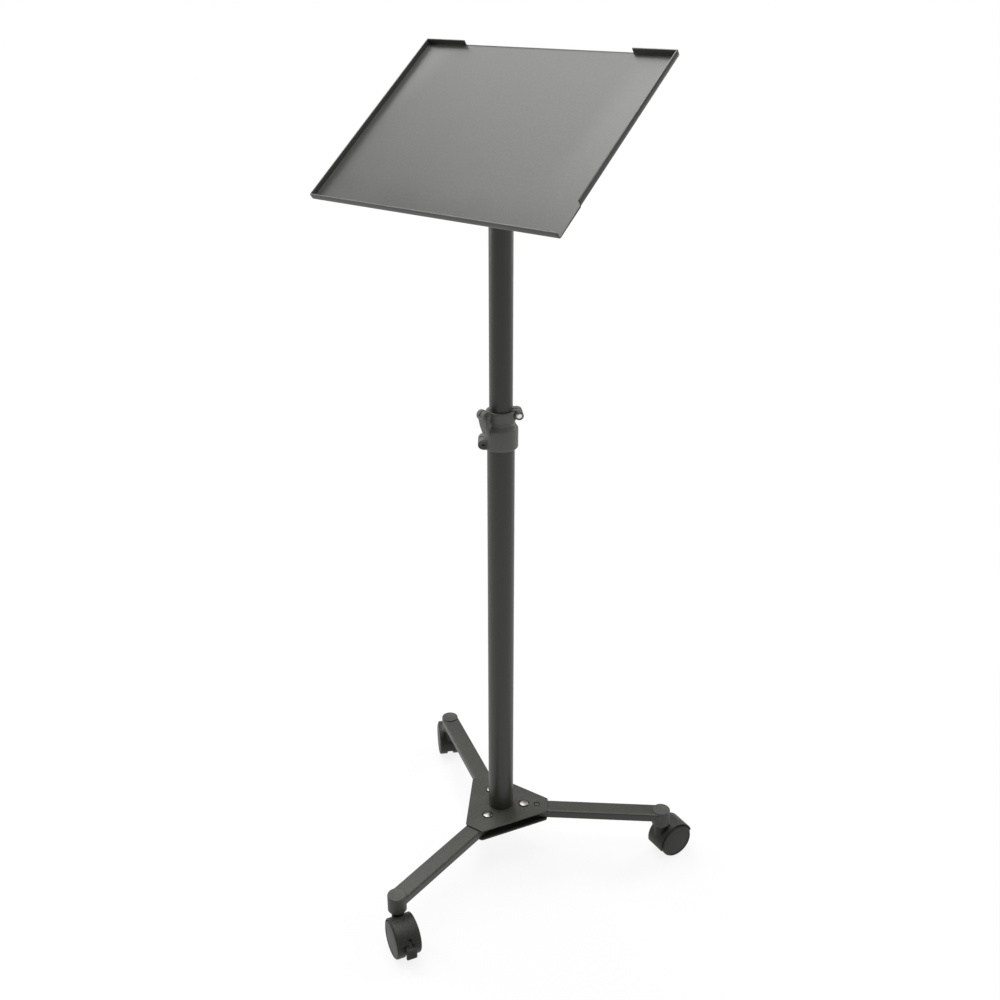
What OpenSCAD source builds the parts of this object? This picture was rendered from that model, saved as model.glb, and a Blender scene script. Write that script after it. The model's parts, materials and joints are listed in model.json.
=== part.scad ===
/* [Base] */
// Distance from the leg's bolt to the castor's swivel axis
leg_reach = 197.8; // [140:0.1:300]
// Width of the flat leg tube
leg_w = 25; // [20:0.5:32]
// Height of the flat leg tube
leg_h = 12.5; // [10:0.5:16]
// Wall of the leg tube
leg_wall = 1.5; // [1:0.1:2.5]
// Height of the leg tube's upper face above the floor
leg_top = 78; // [72:0.5:90]
// Distance from the middle of the base to the leg bolts
bolt_circle_r = 33.2; // [30:0.1:40]
// Thickness of each base plate
plate_t = 2; // [1.5:0.1:3]
// Distance from the middle of the base to each plate's short side
plate_reach = 67.5; // [58:0.5:80]
// Length of each plate's short side
plate_corner_w = 27.5; // [25:0.5:34]
// Turn of the whole base about the pole, against the tray
base_turn = 4.75; // [-15:0.05:15]
// Turn of the front leg about its own bolt
front_leg_turn = -2; // [-6:0.1:6]
// Turn of the right leg about its own bolt
right_leg_turn = 0.7; // [-6:0.1:6]
// Turn of the left leg about its own bolt
left_leg_turn = -5.7; // [-6:0.1:6]
// Diameter of the leg bolts' heads
leg_bolt_head_d = 12.5; // [10:0.5:14]
// Diameter of the upper plate's holes round those heads
leg_bolt_hole_d = 16; // [15:0.5:18]

/* [Leg ends and castors] */
// Diameter of the upright boss on each leg's end
boss_d = 25; // [22:0.5:30]
// Height of that boss
boss_h = 25; // [20:0.5:30]
// Height of the boss above the leg's upper face
boss_rise = 2; // [0.5:0.5:4]
// Diameter of the castor's stem
stem_d = 11; // [8:0.5:12]
// Diameter of the castor wheels
wheel_d = 50; // [40:1:52]
// Width of one castor wheel
wheel_w = 12.5; // [10:0.5:18]
// Free width between a castor's two wheels
wheel_gap = 9; // [8:0.5:14]
// Distance from the swivel axis back to the axle
castor_trail = 19.5; // [14:0.5:24]
// Diameter of the castor's axle
axle_d = 6; // [5:0.5:8]
// Heading of the front castor, from the right-hand side
front_castor_heading = -26; // [-180:1:180]
// Heading of the right castor
right_castor_heading = 70; // [-180:1:180]
// Heading of the left castor
left_castor_heading = 138; // [-180:1:180]

/* [Pole] */
// Outside diameter of the lower tube
lower_tube_d = 35; // [32:0.5:38]
// Wall of the lower tube
lower_tube_wall = 1.5; // [1:0.1:2]
// Height of the lower tube's upper end above the floor
lower_tube_top = 659.5; // [500:0.5:800]
// Outside diameter of the upper tube
upper_tube_d = 29.5; // [25:0.5:30]
// Wall of the upper tube
upper_tube_wall = 1.5; // [1:0.1:2]
// Height of the tilt axis above the floor, at the pole's present setting
tilt_axis_z = 986.5; // [900:0.5:1080]
// Length of the upper tube
upper_tube_len = 520; // [420:1:560]

/* [Clamp] */
// Outside diameter of the lower collar
collar_d = 43.5; // [41:0.5:48]
// Height of the lower collar
collar_h = 32.3; // [28:0.1:44]
// Outside diameter of the neck between collar and ring
neck_d = 35.5; // [35:0.5:38]
// Height of the neck
neck_h = 6.2; // [4:0.1:10]
// Outside diameter of the split upper ring
ring_d = 38; // [37:0.5:42]
// Height of the split upper ring
ring_h = 12.5; // [8:0.1:14]
// Diameter of the clamp's two bolts
clamp_bolt_d = 6; // [5:0.5:6]
// Distance from the pole's axis to the lever's pin
lever_pin_r = 26; // [26:0.5:30]
// Diameter of the lever's hub
lever_hub_d = 11; // [9:0.5:11]
// Width of the lever at its hub
lever_w = 18; // [14:0.5:22]
// Width of the lever at its tip
lever_tip_w = 9; // [6:0.5:12]
// Length of the lever from its pin to its tip
lever_len = 24.5; // [20:0.5:34]
// Thickness of the lever's paddle
lever_t = 4.5; // [3:0.5:5]

/* [Tilt head] */
// Distance from the tilt axis up to the tray's underside
tilt_rise = 37.5; // [30:0.5:50]
// Width of the head's tongue between the bracket's ears
tongue_w = 20; // [14:0.5:26]
// Thickness of the bracket's steel
bracket_t = 3; // [2:0.5:4]
// Diameter of the tilt bolt
tilt_bolt_d = 8; // [6:0.5:10]
// Diameter of the tilt knob
knob_d = 40; // [30:1:50]

/* [Tray] */
// Width of the tray
tray_w = 356; // [280:1:420]
// Depth of the tray
tray_l = 263; // [200:1:320]
// Thickness of the tray's steel
tray_t = 1.5; // [1:0.1:2.5]
// Height of the tray's lips above its upper face
lip_h = 6.9; // [4:0.1:14]
// Tilt of the tray above the level
tray_tilt = 37.6; // [0:0.1:45]
// Length of the back lip beside its left corner
back_lip_left = 60; // [15:1:120]
// Length of the back lip beside its right corner
back_lip_right = 57; // [15:1:120]
// Length of the lipless edge beside the front right corner
side_gap = 45; // [15:1:120]

/* [Place] */
// Distance of the pole to the right of the footprint's middle
pole_x = 12.6; // [0:0.1:40]
// Distance of the pole behind the footprint's middle
pole_y = 40; // [0:0.1:60]

/* [Hidden] */
$fn = 64;

// Cutters reach this far past the faces they cut
over = 1;
// Radial clearance of a pin or shaft that turns in its hole
run_gap = 0.05;
// Clearance between pieces that slide or turn beside each other
slide_gap = 0.3;
// Heights of the base
leg_mid = leg_top - leg_h / 2;
leg_bottom = leg_top - leg_h;
plate_top = leg_top + plate_t;
boss_top = leg_top + boss_rise;
boss_bottom = boss_top - boss_h;
axle_z = wheel_d / 2;
// The three legs, from the front leg round to the left: corner heading and turn about the bolt
corner_heading = [for (i = [0 : 2]) 270 + base_turn + 120 * i];
leg_turn = [front_leg_turn, right_leg_turn, left_leg_turn];
leg_heading = [for (i = [0 : 2]) corner_heading[i] + leg_turn[i]];
castor_heading = [front_castor_heading, right_castor_heading, left_castor_heading];
// The clamp faces: its collar's ear is on the left of the front, its ring's ears are behind
ear_heading = 219;
lever_heading = 259;
clamp_bottom = lower_tube_top - collar_h + 3.8;
collar_top = clamp_bottom + collar_h;
ring_bottom = collar_top + neck_h;
ring_top = ring_bottom + ring_h;
steel = "#5a5b55";
black = "#2c2c2a";
bright = "#c9c9c6";

// A closed outline with every corner rounded to radius r
function corner_arc(a, b, c, r, n) =
    let (u = (a - b) / norm(a - b), v = (c - b) / norm(c - b))
    let (half = acos(u * v) / 2, m = (u + v) / norm(u + v), centre = b + m * r / sin(half))
    let (turn = sign(u[0] * v[1] - u[1] * v[0]), mid = atan2(-m[1], -m[0]))
    [for (k = [0 : n]) let (g = mid - turn * (90 - half) * (2 * k / n - 1))
        centre + r * [cos(g), sin(g)]];
function rounded(p, r, n = 5) =
    [for (i = [0 : len(p) - 1])
        each corner_arc(p[(i + len(p) - 1) % len(p)], p[i], p[(i + 1) % len(p)], r, n)];

// Everything is drawn about the pole's axis, then set on the middle of the footprint
module placed() {
    translate([pole_x, pole_y, 0])
        children();
}

module at_corner(i) {
    rotate([0, 0, corner_heading[i]])
        translate([bolt_circle_r, 0, 0])
            children();
}

module at_leg(i) {
    at_corner(i)
        rotate([0, 0, leg_heading[i] - corner_heading[i]])
            children();
}

module at_castor(i) {
    at_leg(i)
        translate([leg_reach, 0, 0])
            rotate([0, 0, castor_heading[i] - leg_heading[i]])
                children();
}

// Base plates
plate_bolt_d = 8.4;
plate_pole_hole_d = lower_tube_d - 8;
rivet_d = 5;
rivet_reach = 52;

module plate_outline() {
    half = plate_corner_w / 2;
    corners = [for (h = corner_heading) each [
        plate_reach * [cos(h), sin(h)] - half * [-sin(h), cos(h)],
        plate_reach * [cos(h), sin(h)] + half * [-sin(h), cos(h)]]];
    polygon(rounded(corners, 2.5));
}

module base_plate(z, hole_d) {
    color(steel)
        translate([0, 0, z])
            difference() {
                linear_extrude(plate_t) plate_outline();
                for (i = [0 : 2])
                    at_corner(i)
                        translate([0, 0, -over])
                            cylinder(d = hole_d, h = plate_t + 2 * over);
                rotate([0, 0, corner_heading[1]])
                    translate([rivet_reach, 0, -over])
                        cylinder(d = rivet_d, h = plate_t + 2 * over);
                translate([0, 0, -over])
                    cylinder(d = plate_pole_hole_d, h = plate_t + 2 * over);
            }
}

// Legs: flat tubes with rounded edges, cut to the boss and drilled for the bolt
leg_inner = 14;
leg_edge_r = 2.5;
boss_gap = 0.1;

module flat_tube_outline(w, h, r) {
    polygon(rounded([[-w / 2, -h / 2], [w / 2, -h / 2], [w / 2, h / 2], [-w / 2, h / 2]], r, 4));
}

module leg(i) {
    color(steel)
        at_leg(i)
            difference() {
                translate([-leg_inner, 0, leg_mid])
                    rotate([90, 0, 90])
                        linear_extrude(leg_inner + leg_reach)
                            difference() {
                                flat_tube_outline(leg_w, leg_h, leg_edge_r);
                                flat_tube_outline(leg_w - 2 * leg_wall, leg_h - 2 * leg_wall,
                                    leg_edge_r - leg_wall / 2);
                            }
                translate([leg_reach, 0, leg_bottom - over])
                    cylinder(d = boss_d + 2 * boss_gap, h = leg_h + 2 * over);
                translate([0, 0, leg_bottom - over])
                    cylinder(d = plate_bolt_d, h = leg_h + 2 * over);
                if (i == 1)
                    rotate([0, 0, corner_heading[i] - leg_heading[i]])
                        translate([rivet_reach - bolt_circle_r, 0, leg_mid])
                            cylinder(d = rivet_d, h = leg_h);
            }
}

// Leg ends: an upright boss with the plug that fills the tube's end and a blind socket for the stem
plug_len = 24;
plug_gap = 0.1;
stem_in_boss = 19;
boss_chamfer = 1.5;

module boss_profile() {
    r = boss_d / 2;
    round_r = 1;
    polygon(concat([[0, 0], [r - boss_chamfer, 0], [r, boss_chamfer]],
        [for (a = [0 : 15 : 90]) [r - round_r + round_r * cos(a), boss_h - round_r + round_r * sin(a)]],
        [[0, boss_h]]));
}

module leg_end(i) {
    color(steel)
        at_leg(i)
            translate([leg_reach, 0, boss_bottom])
                difference() {
                    union() {
                        rotate_extrude() boss_profile();
                        translate([-boss_d / 2 - plug_len, 0, leg_mid - boss_bottom])
                            rotate([90, 0, 90])
                                linear_extrude(plug_len + boss_d / 2)
                                    flat_tube_outline(leg_w - 2 * leg_wall - 2 * plug_gap,
                                        leg_h - 2 * leg_wall - 2 * plug_gap, leg_edge_r - leg_wall / 2);
                    }
                    translate([0, 0, -over])
                        cylinder(d = stem_d + 2 * run_gap, h = stem_in_boss + over);
                }
}

// Leg bolts: domed heads on the upper plate's legs, shanks through leg and lower plate
leg_bolt_d = 8;
leg_bolt_head_h = 4.2;
leg_nut_h = 5;
leg_nut_af = 13;

module domed_head(d, h) {
    dome_r = (pow(d / 2, 2) + pow(h / 2, 2)) / h;
    rotate_extrude()
        polygon(concat([[0, 0], [d / 2, 0], [d / 2, h / 2]],
            [for (k = [1 : 6]) let (a = k / 6, x = d / 2 * (1 - a))
                [x, h - dome_r + sqrt(pow(dome_r, 2) - pow(x, 2))]]));
}

module leg_bolt(i) {
    shank_bottom = leg_bottom - plate_t - leg_nut_h - 1;
    color(bright)
        at_corner(i) {
            translate([0, 0, leg_top])
                domed_head(leg_bolt_head_d, leg_bolt_head_h);
            translate([0, 0, shank_bottom])
                cylinder(d = leg_bolt_d, h = leg_top - shank_bottom);
            translate([0, 0, leg_bottom - plate_t - leg_nut_h])
                cylinder(d = leg_nut_af / cos(30), h = leg_nut_h, $fn = 6);
        }
}

module locating_rivet() {
    color(steel)
        rotate([0, 0, corner_heading[1]])
            translate([rivet_reach, 0, 0]) {
                translate([0, 0, plate_top])
                    domed_head(7.5, 1.6);
                translate([0, 0, leg_top - leg_wall])
                    cylinder(d = rivet_d - 2 * boss_gap, h = plate_top - leg_top + leg_wall);
            }
}

// Castors, drawn with the swivel axis at the origin and the trail along +X
web_t = wheel_gap - 2;
hood_gap = 1.1;
hood_t = 2;
hood_r = wheel_d / 2 + hood_gap + hood_t;
hood_inner_r = wheel_d / 2 + hood_gap;
hood_w = 2 * wheel_w + wheel_gap - 3;
hood_rear_angle = 20;
hood_front_angle = 197;
stem_boss_d = 16;
hood_socket_h = 16;
hood_top = boss_bottom - 2;
stem_seat = 5;
spigot_d = 5;
spigot_len = 14;
brake_slot_w = 5.4;
brake_w = 4.6;
brake_pivot_x = castor_trail + 12;
brake_pivot_z = axle_z + 17.5;
brake_pin_d = 3;
brake_pad_x = castor_trail + 30.5;
brake_pad_z = axle_z - 5.5;
brake_pad_w = 15;
brake_pad_h = 19;
brake_pad_t = 3;

module castor_stem(i) {
    color(bright)
        at_castor(i) {
            translate([0, 0, hood_top - stem_seat])
                cylinder(d = stem_d, h = stem_seat + boss_bottom - hood_top + stem_in_boss - slide_gap);
            translate([0, 0, hood_top - spigot_len])
                cylinder(d = spigot_d, h = spigot_len);
            translate([0, 0, hood_top])
                cylinder(d = stem_d + 4, h = boss_bottom - hood_top - slide_gap);
        }
}

// The hood's side outline: a shell over the tops of the wheels, from the stem side round to the rear
module hood_sector(r, inset) {
    angles = [hood_rear_angle + inset, 60, 110, 150, hood_front_angle - inset];
    intersection() {
        circle(r);
        polygon(concat([[0, 0]], [for (a = angles) 2 * r * [cos(a), sin(a)]]));
    }
}

module castor_hood(i) {
    color(black)
        at_castor(i)
            difference() {
                union() {
                    translate([castor_trail, 0, axle_z])
                        rotate([90, 0, 0])
                            linear_extrude(hood_w, center = true)
                                difference() {
                                    hood_sector(hood_r, 0);
                                    circle(hood_inner_r);
                                }
                    translate([castor_trail, 0, axle_z])
                        rotate([90, 0, 0])
                            linear_extrude(web_t, center = true) {
                                hood_sector(hood_inner_r + hood_t / 2, 2);
                                circle(axle_d / 2 + 5);
                            }
                    difference() {
                        translate([0, 0, hood_top - hood_socket_h])
                            cylinder(d = stem_boss_d, h = hood_socket_h);
                        for (side = [-1, 1])
                            translate([castor_trail, side * (web_t / 2 + wheel_w), axle_z])
                                rotate([90, 0, 0])
                                    cylinder(r = hood_inner_r + hood_t / 2, h = 2 * wheel_w, center = true);
                    }
                }
                translate([castor_trail, 0, axle_z])
                    rotate([90, 0, 0])
                        cylinder(d = axle_d, h = hood_w, center = true);
                translate([0, 0, hood_top - stem_seat])
                    cylinder(d = stem_d, h = stem_seat + over);
                translate([0, 0, hood_top - spigot_len])
                    cylinder(d = spigot_d, h = spigot_len);
                translate([brake_pivot_x - 7, -brake_slot_w / 2, brake_pivot_z - 12])
                    cube([hood_r, brake_slot_w, hood_r]);
                translate([brake_pivot_x, 0, brake_pivot_z])
                    rotate([90, 0, 0])
                        cylinder(d = brake_pin_d + 2 * run_gap, h = hood_w, center = true);
            }
}

module castor_axle(i) {
    color(bright)
        at_castor(i)
            translate([castor_trail, 0, axle_z])
                rotate([90, 0, 0])
                    cylinder(d = axle_d, h = wheel_gap + 2 * wheel_w - 6, center = true);
}

// A wheel's section: tread with rounded shoulders, a dished outer face and a hub on the axle
module wheel_profile() {
    r = wheel_d / 2;
    shoulder = 2.5;
    polygon(concat([[axle_d / 2 + run_gap, 0], [r - 1, 0], [r, 1]],
        [for (a = [0 : 15 : 90]) [r - shoulder + shoulder * cos(a), wheel_w - shoulder + shoulder * sin(a)]],
        [[r - 5, wheel_w], [r - 6.5, wheel_w - 1.2], [r / 2, wheel_w - 0.6], [4, wheel_w - 0.4],
            [0, wheel_w - 0.4], [0, wheel_w - 2.4], [axle_d / 2 + run_gap, wheel_w - 2.4]]));
}

module castor_wheel(i, side) {
    color(black)
        at_castor(i)
            translate([castor_trail, side * wheel_gap / 2, axle_z])
                rotate([-90 * side, 0, 0])
                    rotate_extrude() wheel_profile();
}

module brake_lever(i) {
    px = brake_pivot_x;
    pz = brake_pivot_z;
    color(black)
        at_castor(i) {
            rotate([90, 0, 0])
                linear_extrude(brake_w, center = true)
                    polygon([[px - 5, pz - 3], [px + 4, pz - 3], [brake_pad_x, brake_pad_z + 1],
                        [brake_pad_x + brake_pad_t / 2, brake_pad_z + 6], [px + 6, pz + 3], [px - 3, pz + 4]]);
            translate([brake_pad_x, 0, brake_pad_z])
                rotate([90, 0, 90])
                    linear_extrude(brake_pad_t, center = true)
                        flat_tube_outline(brake_pad_w, brake_pad_h, 2);
            translate([px, 0, pz])
                rotate([90, 0, 0])
                    cylinder(d = brake_pin_d, h = web_t - slide_gap, center = true);
        }
}

// Pole
bush_h = 30;
bush_gap = 0.05;

module lower_tube() {
    color(steel)
        translate([0, 0, plate_top])
            difference() {
                cylinder(d = lower_tube_d, h = lower_tube_top - plate_top);
                translate([0, 0, -over])
                    cylinder(d = lower_tube_d - 2 * lower_tube_wall, h = lower_tube_top);
            }
}

head_socket = 28;
upper_tube_top = tilt_axis_z - 20;
upper_tube_bottom = upper_tube_top - upper_tube_len;

module upper_tube() {
    color(steel)
        translate([0, 0, upper_tube_bottom])
            difference() {
                cylinder(d = upper_tube_d, h = upper_tube_len);
                translate([0, 0, -over])
                    cylinder(d = upper_tube_d - 2 * upper_tube_wall, h = upper_tube_len + 2 * over);
            }
}

// Glide bush on the upper tube's lower end: a flange that runs in the lower tube, a spigot in the upper tube
module guide_bush() {
    lower_bore_r = lower_tube_d / 2 - lower_tube_wall;
    upper_bore_r = upper_tube_d / 2 - upper_tube_wall;
    color(black)
        translate([0, 0, upper_tube_bottom - slide_gap])
            difference() {
                union() {
                    translate([0, 0, -bush_h / 2])
                        cylinder(r = lower_bore_r - bush_gap, h = bush_h / 2);
                    cylinder(r = upper_bore_r - run_gap, h = bush_h / 2);
                }
                translate([0, 0, -bush_h / 2 - over])
                    cylinder(r = upper_bore_r - 3, h = bush_h + 2 * over);
            }
}

// Clamp: collar pinched on the lower tube, split ring pinched on the upper tube, lever hung on the ring
ear_bolt_x = collar_d / 2 + 0.6;
ear_d = 13;
ear_len = 26;
ear_z = clamp_bottom + 9;
ear_slot = 2.4;
ring_ear_heading = 45;
ring_ear_x = ring_d / 2 + 2.5;
ring_ear_d = 11.5;
ring_ear_len = 18;
ring_ear_z = ring_top - 4.5;
ring_bore_gap = 0.05;
lever_pin_z = ring_top - 2;
lever_pin_d = 5;
lug_d = lever_hub_d - 1;
lug_w = 6;
collar_round = 2.5;
clamp_seat = lower_tube_top + slide_gap;

module clamp_profile() {
    collar_r = collar_d / 2;
    lower_round = [for (a = [-90 : 15 : 0])
        [collar_r - collar_round + collar_round * cos(a), clamp_bottom + collar_round + collar_round * sin(a)]];
    shoulder = [[collar_r, collar_top - 6], [collar_r - 1, collar_top - 3.4], [neck_d / 2 + 0.8, collar_top]];
    ring_side = [[ring_d / 2 - 0.6, ring_bottom], [ring_d / 2, ring_bottom + 0.6], [ring_d / 2, ring_top - 1],
        [ring_d / 2 - 0.6, ring_top]];
    polygon(concat([[0, clamp_bottom]], lower_round, shoulder,
        [[neck_d / 2, collar_top], [neck_d / 2, ring_bottom]], ring_side, [[0, ring_top]]));
}

// Frame of a pinch ear: +X from the pole to the ear's bolt, +Y along the bolt
module at_ear(heading, x, z) {
    rotate([0, 0, heading])
        translate([x, 0, z])
            children();
}

module pinch_ear(x, d, len) {
    rotate([90, 0, 0])
        cylinder(d = d, h = len, center = true);
    translate([-0.45 * x, -len / 2, -d / 2])
        cube([0.45 * x, len, d]);
}

// Frame of the lever's pin: +X away from the pole, +Y along the pin, +Z up
module at_lever() {
    rotate([0, 0, lever_heading])
        translate([lever_pin_r, 0, lever_pin_z])
            children();
}

module lever_lug() {
    root = ring_d / 2 - 3 - lever_pin_r;
    rotate([90, 0, 0])
        linear_extrude(lug_w, center = true) {
            circle(d = lug_d);
            polygon([[root, ring_bottom + 2 - lever_pin_z], [0, -lug_d / 2], [0, lug_d / 2],
                [root, ring_top - 0.3 - lever_pin_z]]);
        }
}

module clamp_body() {
    color(steel)
        difference() {
            union() {
                rotate_extrude() clamp_profile();
                at_ear(ear_heading, ear_bolt_x, ear_z) pinch_ear(ear_bolt_x, ear_d, ear_len);
                at_ear(ring_ear_heading, ring_ear_x, ring_ear_z) pinch_ear(ring_ear_x, ring_ear_d, ring_ear_len);
                at_lever() lever_lug();
            }
            translate([0, 0, clamp_bottom - over])
                cylinder(d = lower_tube_d, h = clamp_seat - clamp_bottom + over);
            translate([0, 0, clamp_seat - over])
                cylinder(d = upper_tube_d + 2 * ring_bore_gap, h = ring_top + 4 - clamp_seat);
            at_ear(ear_heading, ear_bolt_x, ear_z) {
                translate([lower_tube_d / 2 - 2 - ear_bolt_x, -ear_slot / 2, clamp_bottom - over - ear_z])
                    cube([ear_d + 4, ear_slot, ear_z - clamp_bottom + ear_d / 2 + 2 * over]);
                rotate([90, 0, 0])
                    cylinder(d = clamp_bolt_d, h = ear_len + 2 * over, center = true);
                translate([0, ear_len / 2 + over, 0])
                    rotate([90, 0, 0])
                        cylinder(d = clamp_bolt_d + 3.5, h = 4 + over);
            }
            at_ear(ring_ear_heading, ring_ear_x, ring_ear_z) {
                translate([upper_tube_d / 2 - 2 - ring_ear_x, -ear_slot / 2, collar_top + 0.5 - ring_ear_z])
                    cube([ring_ear_d + 8, ear_slot, neck_h + ring_h + 3]);
                rotate([90, 0, 0])
                    cylinder(d = clamp_bolt_d, h = ring_ear_len + 2 * over, center = true);
            }
            at_lever()
                rotate([90, 0, 0])
                    cylinder(d = lever_pin_d + 2 * run_gap, h = lug_w + 2 * over, center = true);
        }
}

module collar_bolt() {
    color(bright)
        at_ear(ear_heading, ear_bolt_x, ear_z)
            rotate([90, 0, 0])
                difference() {
                    union() {
                        cylinder(d = clamp_bolt_d, h = ear_len, center = true);
                        translate([0, 0, 1 - ear_len / 2])
                            cylinder(d = clamp_bolt_d + 3.5, h = 3);
                    }
                    translate([0, 0, -ear_len / 2 - 1])
                        cylinder(d = 5, h = 3.8, $fn = 6);
                }
}

// Ring bolt: a round head at the back and a hexagonal nut on a washer at the front
nut_h = 4.5;
nut_af = 9;
washer_t = 1;

module ring_bolt() {
    color(bright)
        at_ear(ring_ear_heading, ring_ear_x, ring_ear_z)
            rotate([90, 0, 0]) {
                translate([0, 0, -ring_ear_len / 2])
                    cylinder(d = clamp_bolt_d, h = ring_ear_len + washer_t + nut_h + 1);
                translate([0, 0, -ring_ear_len / 2 - 3])
                    cylinder(d = clamp_bolt_d + 3.5, h = 3);
                translate([0, 0, ring_ear_len / 2])
                    cylinder(d = nut_af + 1.5, h = washer_t);
                translate([0, 0, ring_ear_len / 2 + washer_t])
                    cylinder(d = nut_af / cos(30), h = nut_h, $fn = 6);
            }
}

// Lever: a hub slotted over the ring's lug and a paddle that hangs beside the collar and narrows to its tip
lever_gap = 2.5;

module lever_side() {
    back = collar_d / 2 + lever_gap - lever_pin_r;
    polygon(rounded([[back, 0], [back, -lever_len * 0.6], [back - 0.4, -lever_len], [back + 2.6, -lever_len],
        [back + lever_t, -lever_len * 0.6], [back + lever_t + 0.6, -4], [lever_hub_d / 2, 0]], 0.8));
}

module lever_front() {
    polygon(rounded([[-lever_w / 2, lever_hub_d], [-lever_w / 2, -5], [-lever_tip_w / 2, -lever_len - over],
        [lever_tip_w / 2, -lever_len - over], [lever_w / 2, -5], [lever_w / 2, lever_hub_d]], 2.5));
}

module clamp_lever() {
    color(steel)
        at_lever()
            difference() {
                union() {
                    intersection() {
                        rotate([90, 0, 0])
                            linear_extrude(lever_w, center = true) lever_side();
                        rotate([90, 0, 90])
                            linear_extrude(4 * lever_t, center = true) lever_front();
                    }
                    rotate([90, 0, 0])
                        cylinder(d = lever_hub_d, h = lever_w, center = true);
                }
                rotate([90, 0, 0])
                    cylinder(d = lever_hub_d + 1.6, h = lug_w + 2 * slide_gap, center = true);
                rotate([90, 0, 0])
                    cylinder(d = lever_pin_d, h = lever_w + 2 * over, center = true);
            }
}

module lever_pin() {
    color(bright)
        at_lever()
            rotate([90, 0, 0])
                cylinder(d = lever_pin_d, h = lever_w + 1, center = true);
}

// Tilt head: a socket on the upper tube with a flat tongue between the bracket's two ears
head_wall = 3;
tongue_r = 16;

module tilt_head() {
    head_d = upper_tube_d + 2 * head_wall;
    color(steel)
        difference() {
            union() {
                translate([0, 0, upper_tube_top - head_socket])
                    cylinder(d = head_d, h = head_socket + 2);
                intersection() {
                    translate([0, 0, upper_tube_top - head_socket])
                        cylinder(d = head_d, h = 3 * head_socket);
                    translate([-tongue_w / 2, 0, 0])
                        rotate([90, 0, 90])
                            linear_extrude(tongue_w) {
                                translate([0, tilt_axis_z]) circle(tongue_r);
                                translate([-tongue_r, upper_tube_top])
                                    square([2 * tongue_r, tilt_axis_z - upper_tube_top]);
                            }
                }
            }
            translate([0, 0, upper_tube_top - head_socket - over])
                cylinder(d = upper_tube_d, h = head_socket + over);
            translate([0, 0, tilt_axis_z])
                rotate([0, 90, 0])
                    cylinder(d = tilt_bolt_d + 2 * run_gap, h = tongue_w + 2 * over, center = true);
        }
}

// Everything above the tilt axis is drawn level and tilted about it
module tilted() {
    translate([0, 0, tilt_axis_z])
        rotate([tray_tilt, 0, 0])
            children();
}

// Bracket: a channel of bent steel, its web under the tray and its two ears beside the tongue
bracket_l = 90;
ear_gap = 0.3;
bracket_w = tongue_w + 2 * ear_gap + 2 * bracket_t;
flange_w = 26;
ear_r = 13;

module tilt_bracket() {
    color(steel)
        tilted()
            difference() {
                union() {
                    for (side = [-1, 1])
                        translate([side * (tongue_w / 2 + ear_gap + bracket_t / 2), 0, 0])
                            rotate([90, 0, 90])
                                linear_extrude(bracket_t, center = true)
                                    union() {
                                        circle(ear_r);
                                        polygon([[-ear_r, 0], [ear_r, 0], [bracket_l / 2, tilt_rise],
                                            [-bracket_l / 2, tilt_rise]]);
                                    }
                    translate([0, 0, tilt_rise - bracket_t])
                        linear_extrude(bracket_t)
                            flat_tube_outline(bracket_w + 2 * flange_w, bracket_l, 5);
                }
                rotate([0, 90, 0])
                    cylinder(d = tilt_bolt_d, h = bracket_w + 2 * over, center = true);
            }
}

module tilt_bolt() {
    color(bright)
        tilted()
            rotate([0, 90, 0]) {
                translate([0, 0, -bracket_w / 2 - 5.5])
                    cylinder(d = 13 / cos(30), h = 5.5, $fn = 6);
                translate([0, 0, -bracket_w / 2])
                    cylinder(d = tilt_bolt_d, h = bracket_w + 14);
            }
}

// Knob: a lobed grip on the bolt's right-hand end, on a collar that holds it clear of the head
knob_collar_h = 9.5;
knob_grip_h = 12;
lobes = 6;

module tilt_knob() {
    color(black)
        tilted()
            translate([bracket_w / 2 + slide_gap, 0, 0])
                rotate([0, 90, 0])
                    difference() {
                        union() {
                            cylinder(d = 16, h = knob_collar_h + knob_grip_h);
                            difference() {
                                translate([0, 0, knob_collar_h])
                                    cylinder(d = knob_d, h = knob_grip_h);
                                for (k = [0 : lobes - 1])
                                    rotate([0, 0, (k + 0.5) * 360 / lobes])
                                        translate([knob_d / 2 + 4, 0, knob_collar_h - over])
                                            cylinder(d = 18, h = knob_grip_h + 2 * over);
                            }
                        }
                        translate([0, 0, -over])
                            cylinder(d = tilt_bolt_d, h = 14 - slide_gap + over);
                    }
}

// Tray: one folded sheet with bent-up lips, cut away at the middle of its back and at its front right corner
tray_bend_r = 2;

function channel(w, h, r) = concat([[-w / 2, h]],
    [for (a = [180 : 15 : 270]) [-w / 2 + r + r * cos(a), r + r * sin(a)]],
    [for (a = [270 : 15 : 360]) [w / 2 - r + r * cos(a), r + r * sin(a)]],
    [[w / 2, h]]);

module pan(w, l, h, r) {
    intersection() {
        rotate([90, 0, 0])
            linear_extrude(l, center = true) polygon(channel(w, h, r));
        rotate([90, 0, 90])
            linear_extrude(w, center = true) polygon(channel(l, h, r));
    }
}

module tray() {
    w = tray_w / 2;
    l = tray_l / 2;
    color(steel)
        tilted()
            translate([0, 0, tilt_rise])
                difference() {
                    pan(tray_w, tray_l, tray_t + lip_h, tray_bend_r);
                    translate([0, 0, tray_t])
                        pan(tray_w - 2 * tray_t, tray_l - 2 * tray_t, lip_h + over, tray_bend_r - tray_t);
                    translate([back_lip_left - w, l - tray_bend_r, tray_t])
                        cube([tray_w - back_lip_left - back_lip_right, tray_bend_r + over, lip_h + over]);
                    translate([w - tray_bend_r, tray_t - l, tray_t])
                        cube([tray_bend_r + over, side_gap - tray_t, lip_h + over]);
                }
}

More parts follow.
